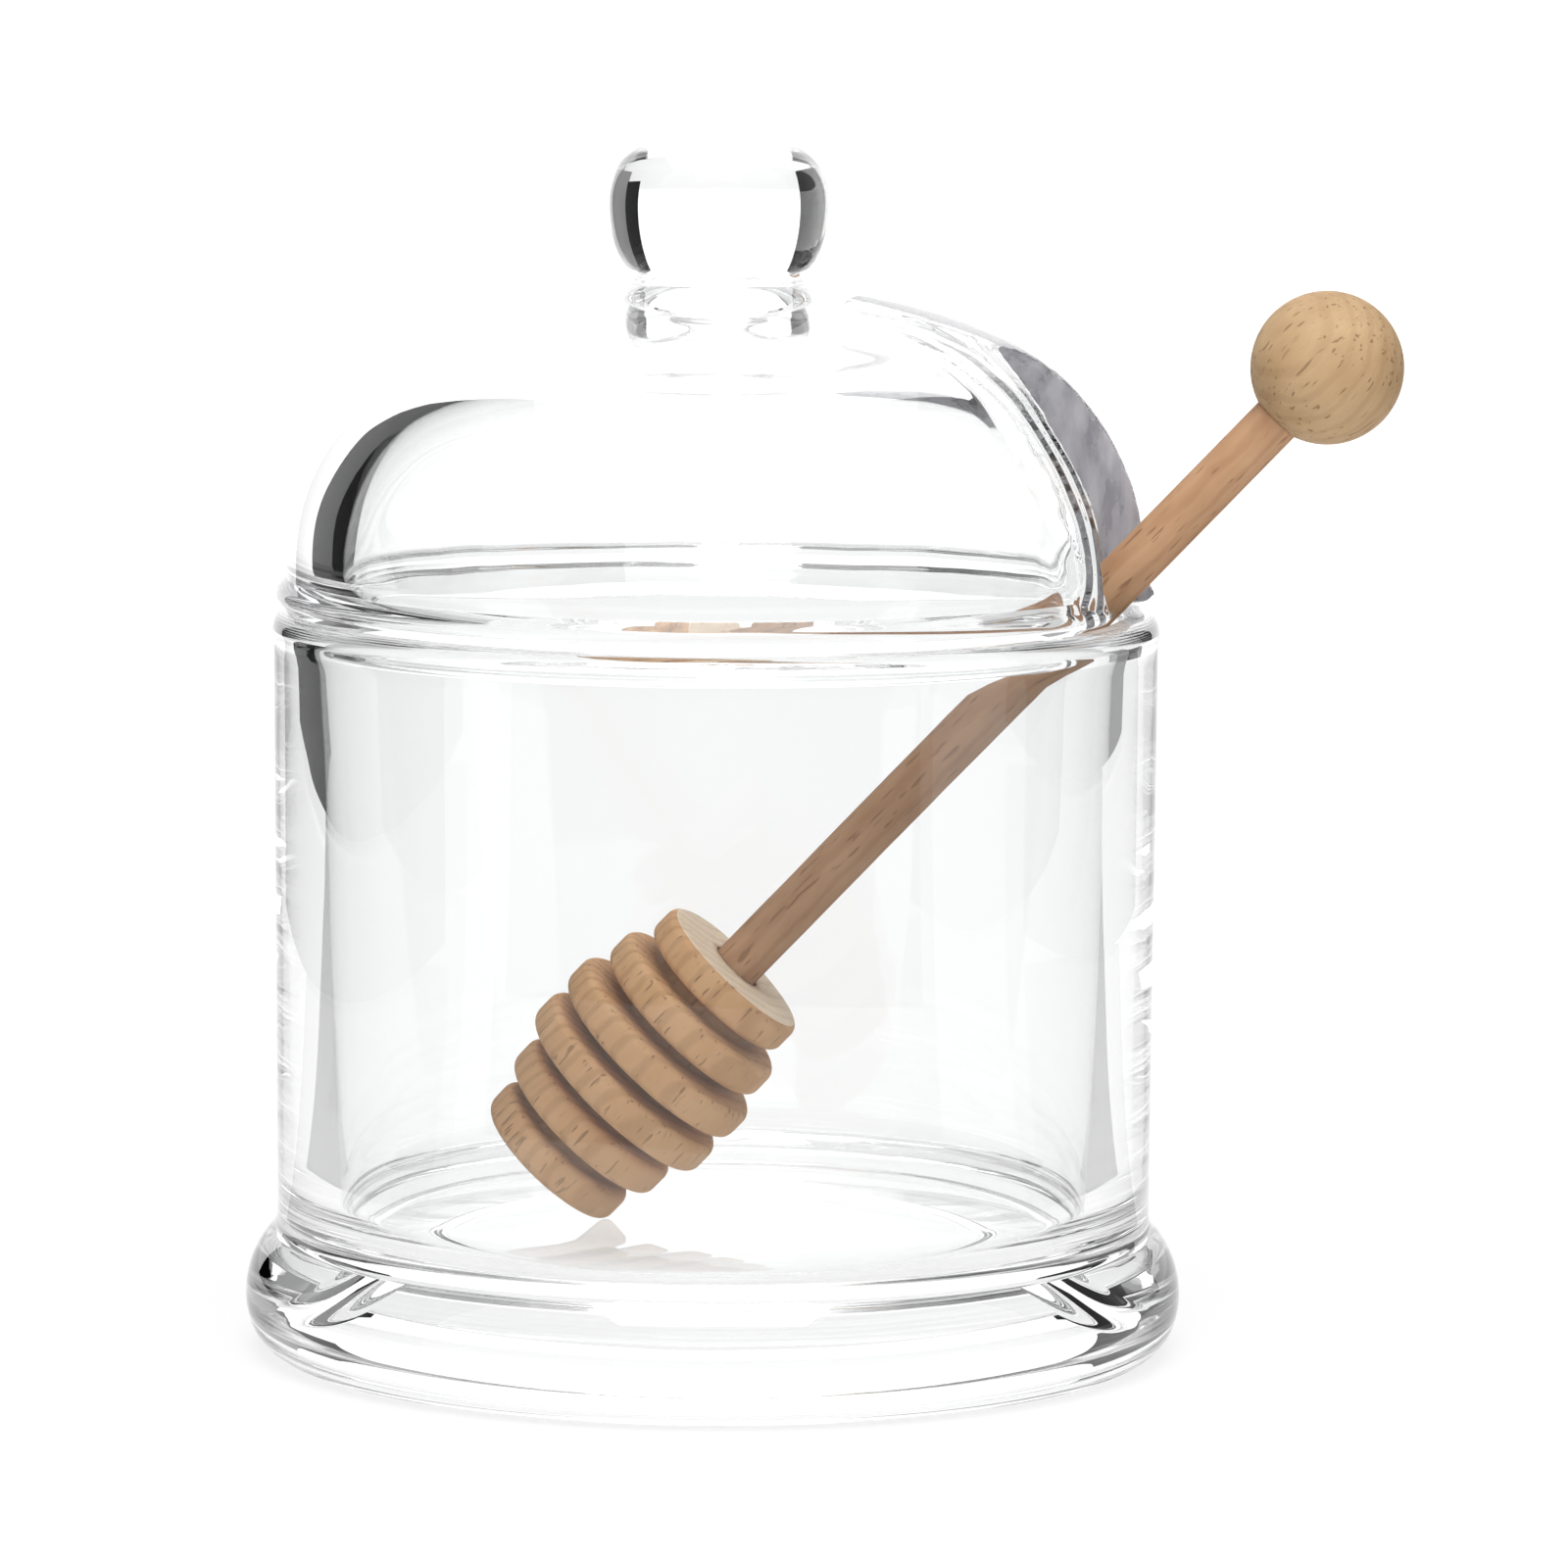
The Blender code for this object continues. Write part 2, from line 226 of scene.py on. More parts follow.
black_cloth = studio_material("black_cloth", (0.006, 0.006, 0.006), 0.9)
grey_cloth = studio_material("grey_cloth", (0.30, 0.30, 0.30), 0.9)
pale_cloth = studio_material("pale_cloth", (0.56, 0.56, 0.56), 0.9)
studio_panel("left_flag", -73.0, 0.296, 0.456, panel_foot_z, panel_top_z, black_cloth)
studio_panel("right_flag", 39.5, 0.335, 0.064, 0.056, panel_top_z, black_cloth)
studio_panel("right_screen", 71.0, 0.340, 0.346, panel_foot_z, panel_top_z, grey_cloth)
studio_sheet("left_sheet", -112.0, -54.0, 0.110, 0.36, pale_cloth)
studio_sheet("right_sheet", 56.0, 98.0, 0.110, 0.36, pale_cloth)
studio_sheet("front_sheet", 125.0, 235.0, 0.220, 1.10, grey_cloth)

softbox_place = jar_axis - away * 0.45 + Vector((0.0, 0.0, 1.15))
studio_lamp("softbox", softbox_size, softbox_watts, softbox_place)
fill_place = jar_axis - away * 1.35 - to_the_right * 0.25 + Vector((0.0, 0.0, 0.55))
fill = studio_lamp("front_fill", fill_size, fill_watts, fill_place)
fill.visible_glossy = False

# The jar. It is clear glass pressed in a mould, with a thick floor, a foot that bulges out like a
# ring, a slightly tapered bore and a rounded rim. It stands on a flat ring round a shallow recess.
foot_radius = 0.05656
foot_widest_z = 0.0065
foot_contact_radius = 0.0522
foot_shoulder_round = 0.0112
foot_shoulder_top = 46.0
body_bottom = (0.0527, 0.0162)
body_top = (0.0531, 0.0855)
rim_top_z = 0.0895
rim_bead_round = 0.0022
rim_bead_radius = 0.0511
rim_bead_end = -15
bore_top_radius = 0.0480
bore_bottom_radius = 0.0454
rim_inner_round = 0.0018
floor_z = 0.0144
floor_flat_radius = 0.0400
floor_fillet_top_z = 0.0205
recess_depth = 0.0012
recess_radius = 0.0334
round_steps = 14
longest_step = 0.0011
turning_steps = 192
weld_distance = 0.000002
waves_per_metre = 48.0
wave_seed = 11
jar_wave = 0.00004
jar_fine_wave = 0.00002
glass_tint = (0.985, 0.990, 0.990)
glass_ior = 1.52


def arc(centre, radii, start, end, steps=round_steps):
    """Points (radius, height) round an arc, from one angle to another, in degrees."""
    angles = [math.radians(start + (end - start) * step / steps) for step in range(steps + 1)]
    return [(centre[0] + radii[0] * math.cos(a), centre[1] + radii[1] * math.sin(a)) for a in angles]


def finely(points, longest=longest_step):
    """The same outline with its straight stretches divided, so that they shade straight."""
    fine = [points[0]]
    for start, end in zip(points, points[1:]):
        parts = max(1, math.ceil(math.dist(start, end) / longest))
        for part in range(1, parts + 1):
            share = part / parts
            fine.append((start[0] + (end[0] - start[0]) * share, start[1] + (end[1] - start[1]) * share))
    return fine


def turned_mesh(name, outline, steps, place, waviness=0.0):
    """A mesh spun about the Z axis from an outline that starts and ends on it, then put in place."""
    shape = bmesh.new()
    corners = [shape.verts.new((radius, 0.0, height)) for radius, height in outline]
    for first, second in zip(corners, corners[1:]):
        shape.edges.new((first, second))
    bmesh.ops.spin(
        shape,
        geom=shape.verts[:] + shape.edges[:],
        cent=(0.0, 0.0, 0.0),
        axis=(0.0, 0.0, 1.0),
        angle=math.tau,
        steps=steps,
        use_merge=True,
    )
    bmesh.ops.remove_doubles(shape, verts=shape.verts[:], dist=weld_distance)
    noise.seed_set(wave_seed)
    for corner in shape.verts:
        wave = noise.noise_vector(corner.co * waves_per_metre) * waviness
        corner.co += Vector((wave.x, wave.y, 0.0))
    bmesh.ops.recalc_face_normals(shape, faces=shape.faces[:])
    bmesh.ops.transform(shape, matrix=place, verts=shape.verts[:])
    mesh = bpy.data.meshes.new(name)
    shape.to_mesh(mesh)
    shape.free()
    mesh.shade_smooth()
    return mesh


def new_group(name, inputs, outputs):
    """An empty group of shader nodes with those sockets, and its two ends."""
    made = bpy.data.node_groups.new(name, "ShaderNodeTree")
    for socket_name, kind in inputs:
        made.interface.new_socket(socket_name, in_out="INPUT", socket_type=kind)
    for socket_name, kind in outputs:
        made.interface.new_socket(socket_name, in_out="OUTPUT", socket_type=kind)
    return made, made.nodes.new("NodeGroupInput"), made.nodes.new("NodeGroupOutput")


wave_group, wave_in, wave_out = new_group(
    "mould_waves",
    [("Place", "NodeSocketVector")],
    [("Height", "NodeSocketFloat")],
)
slow_wave = add_node(wave_group, "ShaderNodeTexNoise", Scale=55.0, Detail=0.0)
quick_wave = add_node(wave_group, "ShaderNodeTexNoise", Scale=190.0, Detail=0.0)
wave_sum = add_node(wave_group, "ShaderNodeMath", "MULTIPLY_ADD", 0.16)
link_all(
    wave_group,
    (wave_in.outputs["Place"], slow_wave.inputs["Vector"]),
    (wave_in.outputs["Place"], quick_wave.inputs["Vector"]),
    (quick_wave.outputs["Fac"], wave_sum.inputs[0]),
    (slow_wave.outputs["Fac"], wave_sum.inputs[2]),
    (wave_sum.outputs["Value"], wave_out.inputs["Height"]),
)


def clear_glass(name, roughness, relief, relief_height):
    """Clear glass with a slight relief, given by a group of nodes that turns a place into a height."""
    made, tree, shader = new_material(name)
    shader.inputs["Base Color"].default_value = (*glass_tint, 1.0)
    shader.inputs["Roughness"].default_value = roughness
    shader.inputs["IOR"].default_value = glass_ior
    shader.inputs["Transmission Weight"].default_value = 1.0
    place = add_node(tree, "ShaderNodeTexCoord")
    raised = add_node(tree, "ShaderNodeGroup")
    raised.node_tree = relief
    bump = add_node(tree, "ShaderNodeBump", Strength=1.0, Distance=relief_height)
    link_all(
        tree,
        (place.outputs["Object"], raised.inputs["Place"]),
        (raised.outputs["Height"], bump.inputs["Height"]),
        (bump.outputs["Normal"], shader.inputs["Normal"]),
    )
    return made


rim_inner_centre = (bore_top_radius + rim_inner_round, rim_top_z - rim_inner_round)
jar_outline = (
    [(0.0, floor_z)]
    + arc(
        (floor_flat_radius, floor_fillet_top_z),
        (bore_bottom_radius - floor_flat_radius, floor_fillet_top_z - floor_z),
        -90,
        0,
    )
    + arc(rim_inner_centre, (rim_inner_round, rim_inner_round), 180, 90)
    + arc((rim_bead_radius, rim_top_z - rim_bead_round), (rim_bead_round, rim_bead_round), 90, rim_bead_end)
    + [body_top, body_bottom]
    + arc(
        (foot_radius - foot_shoulder_round, foot_widest_z),
        (foot_shoulder_round, foot_shoulder_round),
        foot_shoulder_top,
        0,
    )
    + arc(
        (foot_contact_radius, foot_widest_z),
        (foot_radius - foot_contact_radius, foot_widest_z),
        0,
        -90,
    )[1:]
    + [(recess_radius + recess_depth, 0.0), (recess_radius, recess_depth), (0.0, recess_depth)]
)
jar_stand = Matrix.Translation(jar_axis)
jar_mesh = turned_mesh("glass_jar", finely(jar_outline), turning_steps, jar_stand, jar_wave)
jar_mesh.materials.append(clear_glass("jar_glass", 0.0, wave_group, jar_fine_wave))
jar = bpy.data.objects.new("glass_jar", jar_mesh)
bpy.context.scene.collection.objects.link(jar)
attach(jar, "root")
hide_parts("jar")

# The lid. It is pressed in the same glass: a solid knob, a thick dome, a beaded flange that sits on
# the rim and a lip that drops inside it. An arched notch for the dipper is cut in one side: its far
# wall is satin, its near wall is clear with fine folds, and its edges are melted round.
seat_gap = 0.0003
seat_z = rim_top_z + seat_gap
flange_radius = 0.0529
flange_bead_round = 0.0014
flange_bead_z = 0.0915
flange_bead_end = 50
flange_edge_radius = 0.0519
dome_foot_z = 0.0935
dome_radius = 0.0517
dome_shoulder_round = 0.0295
dome_crown_round = 0.0820
dome_apex_z = 0.1297
dome_thickness = 0.0070
lip_outer_radius = 0.0469
lip_inner_radius = 0.0432
lip_bottom_z = 0.0858
lip_round = 0.0009
lip_round_steps = 6
lip_blend_top_z = 0.0950
lip_blend_steps = 20
knob_waist_radius = 0.0097
knob_waist_z = 0.1300
knob_waist_end = -72
knob_foot_radius = 0.0112
knob_radius = 0.01325
knob_widest_z = 0.1384
knob_top_z = 0.1452
knob_top_flat_radius = 0.0080
knob_foot_margin = 0.0005
crown_steps = 30
shoulder_steps = 40
lid_turning_steps = 224
lid_wave = 0.00008
lid_fine_wave = 0.00007
notch_half_width = 0.0123
notch_top_z = 0.1217
notch_inner_x = 0.0150
notch_outer_x = 0.0700
notch_bottom_z = 0.0800
notch_arch_steps = 40
notch_slices = 50
fold_spacing = 0.0026
fold_height = 0.00050
seam_weld = 0.00006
hard_edge = math.radians(35.0)
soft_from_x = 0.020
soft_margin = 0.0010
soft_rings = 4
soft_passes = 16


def dome(foot, shoulder_round, crown_round, apex_z, foot_z):
    """Down a dome from its apex: a shallow crown, then a shoulder that ends upright above its foot."""
    crown_z = apex_z - crown_round
    shoulder_radius = foot - shoulder_round
    shoulder_z = crown_z + math.sqrt((crown_round - shoulder_round) ** 2 - shoulder_radius**2)
    meet = math.degrees(math.atan2(shoulder_z - crown_z, shoulder_radius))
    crown = arc((0.0, crown_z), (crown_round, crown_round), 90, meet, crown_steps)
    shoulder_centre = (shoulder_radius, shoulder_z)
    shoulder = arc(shoulder_centre, (shoulder_round, shoulder_round), meet, 0, shoulder_steps)
    return crown + shoulder[1:] + [(foot, foot_z)]


crown_drop = dome_crown_round - math.sqrt(dome_crown_round**2 - knob_foot_radius**2)
outer_dome = dome(dome_radius, dome_shoulder_round, dome_crown_round, dome_apex_z, dome_foot_z)
inner_dome = dome(
    dome_radius - dome_thickness,
    dome_shoulder_round - dome_thickness,
    dome_crown_round - dome_thickness,
    dome_apex_z - dome_thickness,
    lip_blend_top_z,
)
lip_blend = []
blend_low_z = lip_bottom_z + lip_round
for step in range(1, lip_blend_steps):
    share = step / lip_blend_steps
    swell = (1.0 - math.cos(math.pi * share)) / 2
    blend_radius = lip_inner_radius + (dome_radius - dome_thickness - lip_inner_radius) * swell
    lip_blend.append((blend_radius, blend_low_z + (lip_blend_top_z - blend_low_z) * share))
lid_outline = (
    [(0.0, knob_top_z)]
    + arc(
        (knob_top_flat_radius, knob_widest_z),
        (knob_radius - knob_top_flat_radius, knob_top_z - knob_widest_z),
        90,
        0,
    )
    + arc(
        (knob_waist_radius, knob_widest_z),
        (knob_radius - knob_waist_radius, knob_widest_z - knob_waist_z),
        0,
        knob_waist_end,
    )[1:]
    + [(knob_waist_radius, knob_waist_z), (knob_foot_radius, dome_apex_z - crown_drop)]
    + [point for point in outer_dome if point[0] > knob_foot_radius + knob_foot_margin]
    + arc(
        (flange_radius - flange_bead_round, flange_bead_z),
        (flange_bead_round, flange_bead_round),
        flange_bead_end,
        -flange_bead_end,
    )
    + [(flange_edge_radius, seat_z), (lip_outer_radius, seat_z)]
    + arc((lip_outer_radius - lip_round, blend_low_z), (lip_round, lip_round), 0, -90, lip_round_steps)
    + arc((lip_inner_radius + lip_round, blend_low_z), (lip_round, lip_round), -90, -180, lip_round_steps)
    + lip_blend
    + inner_dome[::-1]
)
lid_mesh = turned_mesh("glass_lid", finely(lid_outline), lid_turning_steps, jar_stand, lid_wave)
lid_mesh.materials.append(clear_glass("lid_glass", 0.0, wave_group, lid_fine_wave))
lid = bpy.data.objects.new("glass_lid", lid_mesh)
bpy.context.scene.collection.objects.link(lid)

arch_z = notch_top_z - notch_half_width
arch = arc((0.0, arch_z), (notch_half_width, notch_half_width), 0, 180, notch_arch_steps)
arch_outline = finely([(notch_half_width, notch_bottom_z)] + arch + [(-notch_half_width, notch_bottom_z)])
cutter_body = bmesh.new()
face = cutter_body.faces.new([cutter_body.verts.new((notch_inner_x, y, z)) for y, z in arch_outline])
step_out = Vector(((notch_outer_x - notch_inner_x) / notch_slices, 0.0, 0.0))
for slice_number in range(notch_slices):
    grown = bmesh.ops.extrude_face_region(cutter_body, geom=[face])
    moved = [item for item in grown["geom"] if isinstance(item, bmesh.types.BMVert)]
    if slice_number:
        bmesh.ops.delete(cutter_body, geom=[face], context="FACES_ONLY")
    face = next(item for item in grown["geom"] if isinstance(item, bmesh.types.BMFace))
    bmesh.ops.translate(cutter_body, verts=moved, vec=step_out)
bmesh.ops.recalc_face_normals(cutter_body, faces=cutter_body.faces[:])
bmesh.ops.translate(cutter_body, verts=cutter_body.verts[:], vec=jar_axis)
cutter_mesh = bpy.data.meshes.new("notch_cutter")
cutter_body.to_mesh(cutter_mesh)
cutter_body.free()


def add_colour_mix(tree, **colours):
    """A node that mixes two colours, A and B, with those that are constant."""
    node = tree.nodes.new("ShaderNodeMix")
    node.data_type = "RGBA"
    for end, colour in colours.items():
        node.inputs[end].default_value = (*colour, 1.0)
    return node


ground_glass, ground_tree, ground_shader = new_material("ground_glass")
ground_shader.inputs["IOR"].default_value = glass_ior
ground_shader.inputs["Transmission Weight"].default_value = 0.45
ground_place = add_node(ground_tree, "ShaderNodeTexCoord")
ground_long = add_node(ground_tree, "ShaderNodeMapping", Scale=(1.0, 1.0, 0.22))
ground_noise = add_node(ground_tree, "ShaderNodeTexNoise", Scale=420.0, Detail=3.0)
ground_satin = add_node(
    ground_tree,
    "ShaderNodeMapRange",
    From_Min=0.35,
    From_Max=0.65,
    To_Min=0.22,
    To_Max=0.48,
)
ground_contrast = add_node(ground_tree, "ShaderNodeMapRange", From_Min=0.36, From_Max=0.64)
ground_tone = add_colour_mix(ground_tree, A=(0.34, 0.34, 0.39), B=(0.68, 0.68, 0.74))
ground_bump = add_node(ground_tree, "ShaderNodeBump", Distance=0.00016)
link_all(
    ground_tree,
    (ground_place.outputs["Object"], ground_long.inputs["Vector"]),
    (ground_long.outputs["Vector"], ground_noise.inputs["Vector"]),
    (ground_noise.outputs["Fac"], ground_satin.inputs["Value"]),
    (ground_satin.outputs["Result"], ground_shader.inputs["Roughness"]),
    (ground_noise.outputs["Fac"], ground_contrast.inputs["Value"]),
    (ground_contrast.outputs["Result"], ground_tone.inputs["Factor"]),
    (ground_tone.outputs["Result"], ground_shader.inputs["Base Color"]),
    (ground_noise.outputs["Fac"], ground_bump.inputs["Height"]),
    (ground_bump.outputs["Normal"], ground_shader.inputs["Normal"]),
)
cutter_mesh.materials.append(ground_glass)

# The folds in the near wall follow the dome's outline: rings round the centre of its shoulder.
dome_shoulder_radius = dome_radius - dome_shoulder_round
shoulder_drop = math.sqrt((dome_crown_round - dome_shoulder_round) ** 2 - dome_shoulder_radius**2)
dome_shoulder_z = dome_apex_z - dome_crown_round + shoulder_drop
fold_group, fold_in, fold_out = new_group(
    "melted_folds",
    [("Place", "NodeSocketVector")],
    [("Height", "NodeSocketFloat")],
)
from_axis = add_node(fold_group, "ShaderNodeVectorMath", "SUBTRACT", jar_axis)
level_part = add_node(fold_group, "ShaderNodeVectorMath", "MULTIPLY", (1.0, 1.0, 0.0))
axis_reach = add_node(fold_group, "ShaderNodeVectorMath", "LENGTH")
past_shoulder = add_node(fold_group, "ShaderNodeMath", "SUBTRACT", dome_shoulder_radius)
place_parts = add_node(fold_group, "ShaderNodeSeparateXYZ")
above_shoulder = add_node(fold_group, "ShaderNodeMath", "SUBTRACT", dome_shoulder_z)
above_only = add_node(fold_group, "ShaderNodeMath", "MAXIMUM", 0.0)
profile_place = add_node(fold_group, "ShaderNodeCombineXYZ")
profile_reach = add_node(fold_group, "ShaderNodeVectorMath", "LENGTH")
fold_wander = add_node(fold_group, "ShaderNodeTexNoise", Scale=75.0, Detail=1.0)
wander_turns = add_node(fold_group, "ShaderNodeMath", "MULTIPLY", 7.0)
fold_phase = add_node(fold_group, "ShaderNodeMath", "MULTIPLY_ADD", math.tau / fold_spacing)
fold_wave = add_node(fold_group, "ShaderNodeMath", "SINE")
link_all(
    fold_group,
    (fold_in.outputs["Place"], from_axis.inputs[0]),
    (from_axis.outputs["Vector"], level_part.inputs[0]),
    (level_part.outputs["Vector"], axis_reach.inputs[0]),
    (axis_reach.outputs["Value"], past_shoulder.inputs[0]),
    (fold_in.outputs["Place"], place_parts.inputs["Vector"]),
    (place_parts.outputs["Z"], above_shoulder.inputs[0]),
    (above_shoulder.outputs["Value"], above_only.inputs[0]),
    (past_shoulder.outputs["Value"], profile_place.inputs["X"]),
    (above_only.outputs["Value"], profile_place.inputs["Y"]),
    (profile_place.outputs["Vector"], profile_reach.inputs[0]),
    (fold_in.outputs["Place"], fold_wander.inputs["Vector"]),
    (fold_wander.outputs["Fac"], wander_turns.inputs[0]),
    (profile_reach.outputs["Value"], fold_phase.inputs[0]),
    (wander_turns.outputs["Value"], fold_phase.inputs[2]),
    (fold_phase.outputs["Value"], fold_wave.inputs[0]),
    (fold_wave.outputs["Value"], fold_out.inputs["Height"]),
)

cutter = bpy.data.objects.new("notch_cutter", cutter_mesh)
bpy.context.scene.collection.objects.link(cutter)
cut = lid.modifiers.new("notch", "BOOLEAN")
cut.operation = "DIFFERENCE"
cut.solver = "EXACT"
cut.object = cutter
cut.material_mode = "TRANSFER"
depsgraph = bpy.context.evaluated_depsgraph_get()
cut_mesh = bpy.data.meshes.new_from_object(lid.evaluated_get(depsgraph))
lid.modifiers.remove(cut)
lid.data = cut_mesh
bpy.data.objects.remove(cutter, do_unlink=True)

cut_mesh.materials.append(clear_glass("folded_glass", 0.03, fold_group, fold_height))
melted = bmesh.new()
melted.from_mesh(cut_mesh)
for face in melted.faces:
    if face.material_index == 1 and face.calc_center_median().y < 0.0:
        face.material_index = 2
bmesh.ops.remove_doubles(melted, verts=melted.verts[:], dist=seam_weld)
bmesh.ops.triangulate(melted, faces=[face for face in melted.faces if len(face.verts) > 4])
near_notch = notch_half_width + soft_margin
soft_band = set()
for edge in melted.edges:
    middle = (edge.verts[0].co + edge.verts[1].co) / 2 - jar_axis
    if middle.x > soft_from_x and abs(middle.y) < near_notch and len(edge.link_faces) == 2:
        if edge.calc_face_angle() > hard_edge:
            soft_band.update(edge.verts)
for widening in range(soft_rings):
    soft_band.update([edge.other_vert(corner) for corner in list(soft_band) for edge in corner.link_edges])
for softening in range(soft_passes):
    bmesh.ops.smooth_vert(
        melted,
        verts=list(soft_band),
        factor=0.5,
        use_axis_x=True,
        use_axis_y=True,
        use_axis_z=True,
    )
melted.to_mesh(cut_mesh)
melted.free()
cut_mesh.shade_smooth()
cut_mesh.set_sharp_from_angle(angle=hard_edge)
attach(lid, "root")
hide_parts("lid")

# The dipper's ball. It is turned from pale beech, drilled, and glued on the end of the stem. All
# three wooden pieces stand on one leaning axis, with the grain along it.
dipper_tilt = math.radians(46.5)
dipper_bearing = math.radians(6.0)
ball_radius = 0.00915
ball_reach = 0.1359
ball_steps = 40
ball_turning_steps = 64
stem_radius = 0.0030
socket_gap = 0.0003
socket_depth = 0.0060
# Painted shade for the head's grooves: full at the first radius from the dipper's axis, none at the second.
groove_full_shade_radius = 0.0071
groove_no_shade_radius = 0.0100
fleck_and_groove_shade_darkening = 0.6
fibre_height = 0.00007

ball_high = Vector(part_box("dipper_ball")[1])
ball_centre = ball_high - Vector((ball_radius, ball_radius, ball_radius))
dipper_lean = Matrix.Rotation(math.pi / 2 - dipper_tilt, 4, "Y")
dipper_turn = Matrix.Rotation(dipper_bearing, 4, "Z") @ dipper_lean
dipper_end = ball_centre - dipper_turn @ Vector((0.0, 0.0, ball_reach))
dipper_place = Matrix.Translation(dipper_end) @ dipper_turn

grain, grain_in, grain_out = new_group(
    "beech_grain_and_groove_shade",
    [("Place", "NodeSocketVector"), ("Pith", "NodeSocketVector"), ("Fleck Stretch", "NodeSocketVector")],
    [
        ("Rings", "NodeSocketFloat"),
        ("Flecks", "NodeSocketFloat"),
        ("Fibres", "NodeSocketFloat"),
        ("Mottle", "NodeSocketFloat"),
        ("Groove Shade", "NodeSocketFloat"),
    ],
)
from_pith = add_node(grain, "ShaderNodeVectorMath", "SUBTRACT")
leaning = add_node(
    grain,
    "ShaderNodeMapping",
    Rotation=(math.radians(6.0), math.radians(-8.0), 0.0),
    Scale=(1.0, 1.0, 0.0),
)
ring_reach = add_node(grain, "ShaderNodeVectorMath", "LENGTH")
ring_wander = add_node(grain, "ShaderNodeTexNoise", Scale=130.0, Detail=2.0)
wander_size = add_node(grain, "ShaderNodeMath", "MULTIPLY", 5.5)
ring_phase = add_node(grain, "ShaderNodeMath", "MULTIPLY_ADD", 2900.0)
ring_wave = add_node(grain, "ShaderNodeMath", "SINE")
ring_level = add_node(grain, "ShaderNodeMapRange", From_Min=0.1)
ring_level.interpolation_type = "SMOOTHSTEP"
stretched = add_node(grain, "ShaderNodeVectorMath", "MULTIPLY")
fleck_noise = add_node(grain, "ShaderNodeTexNoise", Scale=1900.0, Detail=1.0)
fleck_level = add_node(grain, "ShaderNodeMapRange", From_Min=0.65, From_Max=0.71)
long_fibre = add_node(grain, "ShaderNodeMapping", Scale=(1.0, 1.0, 0.05))
fibre_noise = add_node(grain, "ShaderNodeTexNoise", Scale=2600.0, Detail=2.0)
short_mottle = add_node(grain, "ShaderNodeMapping", Scale=(1.0, 1.0, 0.35))
mottle_noise = add_node(grain, "ShaderNodeTexNoise", Scale=230.0, Detail=3.0)
across_only = add_node(grain, "ShaderNodeMapping", Scale=(1.0, 1.0, 0.0))
dipper_axis_reach = add_node(grain, "ShaderNodeVectorMath", "LENGTH")
# Painted shade mask: 1 near the dipper's axis at the groove floors, falling to 0 at the discs.
groove_shade_level = add_node(
    grain,
    "ShaderNodeMapRange",
    From_Min=groove_full_shade_radius,
    From_Max=groove_no_shade_radius,
    To_Min=1.0,
    To_Max=0.0,
)
link_all(
    grain,
    (grain_in.outputs["Place"], from_pith.inputs[0]),
    (grain_in.outputs["Pith"], from_pith.inputs[1]),
    (from_pith.outputs["Vector"], leaning.inputs["Vector"]),
    (leaning.outputs["Vector"], ring_reach.inputs[0]),
    (grain_in.outputs["Place"], ring_wander.inputs["Vector"]),
    (ring_wander.outputs["Fac"], wander_size.inputs[0]),
    (ring_reach.outputs["Value"], ring_phase.inputs[0]),
    (wander_size.outputs["Value"], ring_phase.inputs[2]),
    (ring_phase.outputs["Value"], ring_wave.inputs[0]),
    (ring_wave.outputs["Value"], ring_level.inputs["Value"]),
    (ring_level.outputs["Result"], grain_out.inputs["Rings"]),
    (grain_in.outputs["Place"], stretched.inputs[0]),
    (grain_in.outputs["Fleck Stretch"], stretched.inputs[1]),
    (stretched.outputs["Vector"], fleck_noise.inputs["Vector"]),
    (fleck_noise.outputs["Fac"], fleck_level.inputs["Value"]),
    (fleck_level.outputs["Result"], grain_out.inputs["Flecks"]),
    (grain_in.outputs["Place"], long_fibre.inputs["Vector"]),
    (long_fibre.outputs["Vector"], fibre_noise.inputs["Vector"]),
    (fibre_noise.outputs["Fac"], grain_out.inputs["Fibres"]),
    (grain_in.outputs["Place"], short_mottle.inputs["Vector"]),
    (short_mottle.outputs["Vector"], mottle_noise.inputs["Vector"]),
    (mottle_noise.outputs["Fac"], grain_out.inputs["Mottle"]),
    (grain_in.outputs["Place"], across_only.inputs["Vector"]),
    (across_only.outputs["Vector"], dipper_axis_reach.inputs[0]),
    (dipper_axis_reach.outputs["Value"], groove_shade_level.inputs["Value"]),
    (groove_shade_level.outputs["Result"], grain_out.inputs["Groove Shade"]),
)


